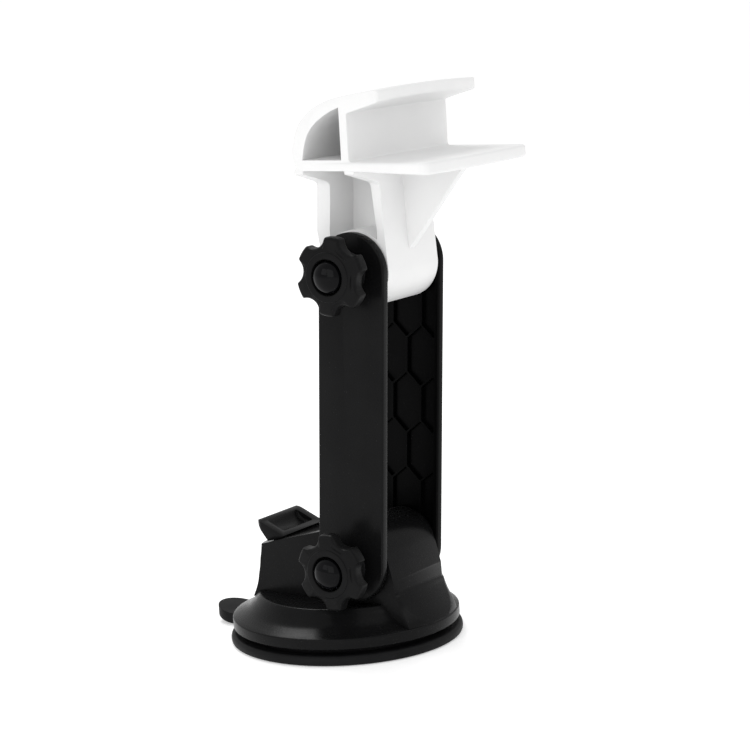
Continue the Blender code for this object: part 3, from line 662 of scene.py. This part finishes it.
def cell_outline(centre):
    """Long hexagon on its point, trimmed by half a rib and by the plate's rim."""
    half_width = CELL_HALF_WIDTH - RIB / 2
    half_side = CELL_HALF_SIDE - RIB / 4
    point = half_side + CELL_RISE * half_width / CELL_HALF_WIDTH
    corners = [(half_width, -half_side), (half_width, half_side), (0, point),
               (-half_width, half_side), (-half_width, -half_side), (0, -point)]
    outline = [(centre[0] + a, centre[1] + b) for a, b in corners]
    limit = PLATE_RADIUS - HONEYCOMB_RIM
    outline = trim_outline(trim_outline(outline, limit, 1), limit, -1)
    return rounded([(a, b, 0.35) for a, b in outline], 3)


def arm_plate(node, side, look):
    """Flat plate with round ends and a honeycomb pocketed into its inner face."""
    outline = (arc((0, 0), PLATE_RADIUS, 180, 360, 48)
               + arc((0, ARM_LENGTH), PLATE_RADIUS, 0, 180, 48))
    low, high = sorted((side * PLATE_INNER, side * PLATE_OUTER))
    plate = extruded(node + "_blank", [outline], low, high, SIDE, ARM_FRAME)
    soften(plate, 0.6, 4)
    low, high = sorted((side * (PLATE_INNER - 1), side * (PLATE_INNER + POCKET_DEPTH)))
    cells = [cell_outline(centre) for centre in honeycomb_cells()]
    pockets = extruded(node + "_pockets", cells, low, high, SIDE, ARM_FRAME)
    cut(plate, pockets)
    for placing in (ARM_FRAME, ARM_END_FRAME):
        cut(pockets, disc(node + "_patch", PIVOT_PAD_RADIUS, low - 1, high + 1, SIDE,
                          placing))
        cut(plate, disc(node + "_bore", PLATE_BORE_RADIUS, low - 10, high + 10, SIDE, placing,
                        SMALL_BORE_STEPS))
        if side < 0:
            hexagon = arc((0, 0), HEAD_RADIUS, 30, 330, 5)
            cut(plate, extruded(node + "_head_recess", [hexagon], -PLATE_OUTER - 5,
                                -PLATE_OUTER + HEAD_DEPTH, SIDE, placing))
    return finished(node + "_shell", plate, look, "arm", "black_plastic", node)


# ---------------------------------------------------------------- knobs

KNOB_TIP = 12.1
NOTCH_RADIUS = 9.6
NOTCH_CURVE = 4.6
LOBE_BLEND = 0.22
KNOB_BACK = 24.6
KNOB_FRONT = 29.6
COLLAR_RADIUS = 7.6
COLLAR_FRONT = 30.0
WELL_RADIUS = 5.45
WELL_FLOOR = 26.2
BOSS_RADIUS = 6.6
BOSS_BACK = 18.85
LOBE_INSET = 2.2        # from the lobes' outline to the flat of the back
NUT_SEAT = 21.0
KNOB_BORE_RADIUS = 2.8
CAP_RADIUS = 4.95
CAP_RIM = 29.2
CAP_HEIGHT = 2.85


def knob_outline(angle):
    """Radius of the six-lobed outline; a notch's middle is at 30 degrees."""
    sector = math.radians(60)
    from_notch = (angle % sector) - sector / 2
    centre = NOTCH_RADIUS + NOTCH_CURVE
    inside = NOTCH_CURVE ** 2 - (centre * math.sin(from_notch)) ** 2
    if inside <= 0:
        return KNOB_TIP
    notch = centre * math.cos(from_notch) - math.sqrt(inside)
    lower = min(notch, KNOB_TIP)
    gap = abs(notch - KNOB_TIP)
    return lower - LOBE_BLEND * math.log(1 + math.exp(-gap / LOBE_BLEND))


def lobed_row(inset, height):
    """Row that follows the lobes, drawn in by an inset."""
    return lambda angle: (knob_outline(angle) - inset, height)


def round_row(radius, height, lobed=0.0):
    """Circular row, or one that is partly drawn towards the lobes."""
    return lambda angle: (radius * (1 - lobed) + (knob_outline(angle) - LOBE_INSET) * lobed,
                          height)


def knob(prefix, placing):
    """Six-lobed knob: soft rims, raised collar, well with a rounded lip, boss behind."""
    back = 0.9
    rim = 1.3
    rows = [round_row(BOSS_RADIUS, KNOB_BACK), lobed_row(LOBE_INSET, KNOB_BACK)]
    rows += [lobed_row(back - back * math.sin(turn), KNOB_BACK + back - back * math.cos(turn))
             for turn in (math.radians(15 * step) for step in range(7))]
    rows += [lobed_row(rim - rim * math.cos(turn),
                       KNOB_FRONT - 0.5 - rim + rim * math.sin(turn))
             for turn in (math.radians(11.25 * step) for step in range(9))]
    rows += [lobed_row(1.9, KNOB_FRONT - 0.36), round_row(8.9, KNOB_FRONT - 0.18, 0.4),
             round_row(8.1, KNOB_FRONT - 0.05), round_row(COLLAR_RADIUS + 0.1, KNOB_FRONT)]
    rows += [round_row(COLLAR_RADIUS - 0.3 + 0.3 * math.cos(turn),
                       COLLAR_FRONT - 0.3 + 0.3 * math.sin(turn))
             for turn in (math.radians(22.5 * step) for step in range(5))]
    rows += [round_row(WELL_RADIUS + 0.5 - 0.5 * math.sin(turn),
                       COLLAR_FRONT - 0.5 + 0.5 * math.cos(turn))
             for turn in (math.radians(18 * step) for step in range(6))]
    rows += [round_row(WELL_RADIUS, WELL_FLOOR), round_row(HEAD_RADIUS, WELL_FLOOR),
             round_row(HEAD_RADIUS, NUT_SEAT), round_row(KNOB_BORE_RADIUS, NUT_SEAT),
             round_row(KNOB_BORE_RADIUS, BOSS_BACK), round_row(BOSS_RADIUS - 0.3, BOSS_BACK),
             round_row(BOSS_RADIUS, BOSS_BACK + 0.3)]
    drawn = lofted(prefix + "_rings", rows, SIDE, placing, 240)
    return finished(prefix + "_shell", drawn, KNOB_BLACK, prefix + "_group", "black_plastic",
                    prefix)


def knob_cap(prefix, placing):
    """Polished dome with a fine shoulder."""
    dome = [(CAP_RADIUS * math.cos(turn), CAP_RIM + CAP_HEIGHT * math.sin(turn))
            for turn in (math.radians(90 - 6 * step) for step in range(16))]
    dome[0] = (0, CAP_RIM + CAP_HEIGHT)
    stem = CAP_RADIUS - 0.15
    profile = dome + [(CAP_RADIUS, CAP_RIM - 0.2), (stem, CAP_RIM - 0.3), (stem, 26.7),
                      (stem - 0.25, 26.5), (0, 26.5)]
    cap = turned(prefix + "_dome", profile, SIDE, placing, 64)
    return finished(prefix + "_cap_shell", cap, GLOSS, prefix + "_group", "gloss_black",
                    prefix + "_cap")


# ---------------------------------------------------------------- phone cradle

CRADLE_HALF_WIDTH = 27.6
SHELF_LOW = 31.7
SHELF_FRONT_LOW = 30.5
SHELF_HIGH = 34.4
WEB_FRONT = 9.0
NECK_BACK = (-13.8, 12.2)
NECK_FRONT = (10.95, 12.6)
LIP_DROOP = 0.6
LIP_STATIONS = 24


def lip_drop(across, up):
    """How far a point of the shell is bowed down: only near the top and the ends."""
    share = min(max((up - 46) / 8, 0), 1)
    return LIP_DROOP * (across / CRADLE_HALF_WIDTH) ** 2 * share * share * (3 - 2 * share)


def bowed(name, outline, half_width):
    """Closed side outline swept across the middle plane, its top bowed down to the ends."""
    work = bmesh.new()
    rings = []
    for station in range(LIP_STATIONS + 1):
        across = half_width * (2 * station / LIP_STATIONS - 1)
        rings.append([work.verts.new((across * MM, -forward * MM,
                                      (up - lip_drop(across, up)) * MM))
                      for forward, up in outline])
    for ring, following in zip(rings, rings[1:]):
        for index in range(len(outline)):
            work.faces.new((ring[index - 1], ring[index], following[index],
                            following[index - 1]))
    work.faces.new(rings[0])
    work.faces.new(rings[-1])
    bmesh.ops.recalc_face_normals(work, faces=work.faces)
    mesh = bpy.data.meshes.new(name)
    work.to_mesh(mesh)
    work.free()
    return scratch_object(name, mesh, HEAD_FRAME)


def cradle_shell():
    """Back shell, lip and web, with small moulded fillets."""
    back = flowing([(-8.4, SHELF_LOW), (-9.6, 32.2), (-10.5, 33.1), (-11.1, 34.5),
                    (-11.35, 36.3), (-11.2, 38.4), (-10.6, 41.1), (-9.4, 44.1),
                    (-8.1, 46.2), (-6.5, 47.9), (-4.6, 49.6), (-2.4, 51.1), (0.3, 52.4),
                    (4.0, 53.7), (7.6, 54.4), (11.2, 55.0), (14.8, 55.5), (19.0, 55.93)], 4)
    nose = flowing([(19.0, 55.93), (19.8, 55.85), (20.3, 55.35), (20.45, 54.4),
                    (20.4, 53.2), (20.15, 52.5), (19.5, 52.1)], 4)[1:]
    crotch = arc((9.9, 48.3), 0.9, 110, 180, 6)
    foot = arc((9.8, SHELF_HIGH + 0.8), 0.8, 180, 262, 6)
    outer = [(12, SHELF_LOW + 0.8), (WEB_FRONT, SHELF_LOW)] + back + nose
    outer = outer + crotch + foot
    hollow = [(6.4, 34.9), (-7.8, 34.9)]
    hollow += flowing([(-7.5, 36.6), (-6.7, 39.6), (-5.4, 42.6), (-3.3, 45.2),
                       (-0.2, 47.6), (3.5, 49.8), (6.4, 51.0)], 5)
    shell = bowed("shell", outer, CRADLE_HALF_WIDTH)
    cut(shell, bowed("shell_hollow", hollow, CRADLE_HALF_WIDTH + 1))
    plan = rounded([
        (-14, -CRADLE_HALF_WIDTH - 1, 0), (20.5, -CRADLE_HALF_WIDTH, 1.5),
        (20.5, CRADLE_HALF_WIDTH, 1.5), (-14, CRADLE_HALF_WIDTH + 1, 0)], 12)
    keep_inside(shell, extruded("shell_plan", [plan], 20, 70, PLAN, HEAD_FRAME))
    soften(shell, 0.3, 3)
    return shell


def cradle_shelf():
    """Flat-topped shelf, wider, thicker and slightly bowed at the front."""
    half = [(-6, 27.5, 0), (9, 28, 0), (32, 29, 0), (37.2, 29, 2.5)]
    half += [(38.4 - 0.0014 * x * x, x, 0) for x in range(24, 0, -3)]
    outline = half + [(38.4, 0, 0)]
    outline += [(forward, -x, radius) for forward, x, radius in reversed(half)]
    shelf = extruded("shelf", [rounded(outline, 12)], SHELF_FRONT_LOW - 1, SHELF_HIGH, PLAN,
                     HEAD_FRAME)
    side = [(-7, SHELF_LOW + 0.4), (39, SHELF_FRONT_LOW), (39, SHELF_HIGH + 1),
            (-7, SHELF_HIGH + 1)]
    keep_inside(shelf, extruded("shelf_side", [side], -30, 30, SIDE, HEAD_FRAME))
    soften(shelf, 0.9, 5)
    return shelf


def cradle_neck():
    """Two walls that flare out under the shelf, a thin middle web and the gusset."""
    walls = [
        flowing([(-8.0, 33), (-8.0, 24.6), (-8.9, 12.3)], 3) + [(-8.9, 9), (-12, 9)]
        + flowing([NECK_BACK, (-12.9, 24.5), (-12.3, 28.5), (-11.2, 31.7), (-10, 33)], 5),
        [(7.1, 33), (10.4, 33), (10.4, 25.9), NECK_FRONT, (9.6, 9), (8.3, 9), (8.3, 12.6),
         (7.1, 25.9)]]
    neck = extruded("neck_walls", walls, -27.5, 27.5, SIDE, HEAD_FRAME)
    half = [(KNUCKLE_HALF_WIDTH, 0)]
    half += flowing([(KNUCKLE_HALF_WIDTH, 25.2), (14.05, 26.2), (14.6, 26.9), (15.6, 27.4)], 4)
    half += [(27.4, 30.7), (27.4, 34)]
    outline = half + [(-x, up) for x, up in reversed(half)]
    keep_inside(neck, extruded("neck_front", [outline], -20, 20, FRONT, HEAD_FRAME))
    soften(neck, 0.5, 3)
    web = extruded("neck_web", [box_outline(-10, 9, 8, 33)], -1.25, 1.25, SIDE, HEAD_FRAME)
    gusset = extruded("neck_gusset", [
        flowing([(34.6, 32.6), (33.4, 31.5), (26.5, 23.2), (16.4, 11), (11.6, 5.4)], 3)
        + [(9, 5.4), (9, 32.6)]], -1.4, 1.4, SIDE, HEAD_FRAME)
    soften(gusset, 0.8, 4)
    return neck, web, gusset


def phone_cradle():
    """One-piece cradle: knuckle, neck, shelf, back shell and lip."""
    knuckle = [NECK_BACK] + arc((0, 0), KNUCKLE_RADIUS, 180, 360, 64) + [NECK_FRONT]
    floor = arc((0, 0), KNUCKLE_RADIUS + 0.6, 50, 130, 16)
    cradle = extruded("cradle", [knuckle + floor], -KNUCKLE_HALF_WIDTH, KNUCKLE_HALF_WIDTH,
                      SIDE, HEAD_FRAME)
    join(cradle, *cradle_neck(), cradle_shelf(), cradle_shell())
    cut(cradle, *knuckle_holes("head", HEAD_FRAME, SMALL_BORE_STEPS))
    return finished("cradle_shell", cradle, WHITE, "head", "white_plastic", "phone_cradle")


# ---------------------------------------------------------------- carried-over CAD nodes

def dress(look, *names):
    """Give CAD nodes their detailed material."""
    for name in names:
        node = frame["nodes"][name]
        node.data.materials.clear()
        node.data.materials.append(look)


def dress_hardware():
    """Clamp hardware and inner parts keep their CAD shape."""
    dress(INNER_BLACK, "pad_core")
    dress(STEEL, "pad_spring", "lever_pin", "lower_bolt", "upper_bolt")
    dress(BLACK_STEEL, "lower_knob_washer", "upper_knob_washer")
    dress(BRASS, "lower_knob_nut", "upper_knob_nut")
    dress(FIBRE, "lower_friction_washer_left", "lower_friction_washer_right",
          "upper_friction_washer_left", "upper_friction_washer_right")


# ---------------------------------------------------------------- studio

FLOOR_SIZE = 120        # metres, so that it reaches the horizon
FLOOR_GAP = 0.0002      # metres under the pad


def studio_floor():
    """Plain pale floor that fills the view."""
    made, _, shader, _ = shader_nodes("studio_floor")
    shader.inputs["Base Color"].default_value = (0.85, 0.85, 0.85, 1)
    shader.inputs["Roughness"].default_value = 0.9
    shader.inputs["Specular IOR Level"].default_value = 0.1
    shader.inputs["Emission Color"].default_value = (1, 1, 1, 1)
    shader.inputs["Emission Strength"].default_value = 0.35
    bpy.ops.mesh.primitive_plane_add(size=FLOOR_SIZE, location=(0, 0, -FLOOR_GAP))
    floor = bpy.context.object
    floor.name = "studio_floor"
    floor.data.materials.append(made)


def softbox(name, position, target, size, power):
    """Square area light aimed at a point."""
    light = bpy.data.lights.new(name, "AREA")
    light.shape = "SQUARE"
    light.size = size
    light.energy = power
    holder = bpy.data.objects.new(name, light)
    bpy.context.scene.collection.objects.link(holder)
    holder.location = position
    aim = Vector(target) - Vector(position)
    holder.rotation_euler = aim.to_track_quat("-Z", "Y").to_euler()


def studio_lights():
    """White surroundings with soft boxes above, in front and to both sides."""
    world = bpy.data.worlds.new("studio")
    bpy.context.scene.world = world
    world.use_nodes = True
    background = world.node_tree.nodes["Background"]
    background.inputs["Color"].default_value = (1, 1, 1, 1)
    background.inputs["Strength"].default_value = 0.78
    middle = (0, -0.015, 0.09)
    softbox("top_box", (0.3, 0.52, 1.05), middle, 0.45, 4.2)
    softbox("front_box", (-1.1, -0.2, 0.5), middle, 0.8, 2.4)
    softbox("right_box", (0.35, -1.0, 0.9), middle, 0.7, 1.9)
    softbox("left_box", (-0.95, 0.45, 0.5), middle, 0.5, 0.9)


CAMERA_EYE = Vector((-0.6012, -0.4286, 0.2123))
CAMERA_AIM = Vector((0.8126, 0.5570, -0.1716))
CAMERA_ROLL = math.radians(-3.3)
CAMERA_LENS = 113.5


def camera():
    """Camera at the photograph's angle."""
    data = bpy.data.cameras.new("camera")
    data.sensor_width = 36
    data.lens = CAMERA_LENS
    holder = bpy.data.objects.new("camera", data)
    bpy.context.scene.collection.objects.link(holder)
    level = CAMERA_AIM.normalized().to_track_quat("-Z", "Y").to_matrix().to_4x4()
    roll = Matrix.Rotation(CAMERA_ROLL, 4, "Z")
    holder.matrix_world = Matrix.Translation(CAMERA_EYE) @ level @ roll
    bpy.context.scene.camera = holder


suction_pad()
base_housing()
flip_lever()
arm_plate("arm_plate_left", 1, BLACK)
# The far plate gets the darker copy of the black plastic, which carries painted shade.
arm_plate("arm_plate_right", -1, PAINTED_SHADE_BLACK)
for prefix, placing in (("lower_knob", LOWER_KNOB_FRAME), ("upper_knob", UPPER_KNOB_FRAME)):
    knob(prefix, placing)
    knob_cap(prefix, placing)
phone_cradle()
dress_hardware()
for leftover in list(scratch.objects):
    bpy.data.objects.remove(leftover)
bpy.data.collections.remove(scratch)

studio_floor()
studio_lights()
camera()
bpy.context.scene.view_settings.view_transform = "Standard"
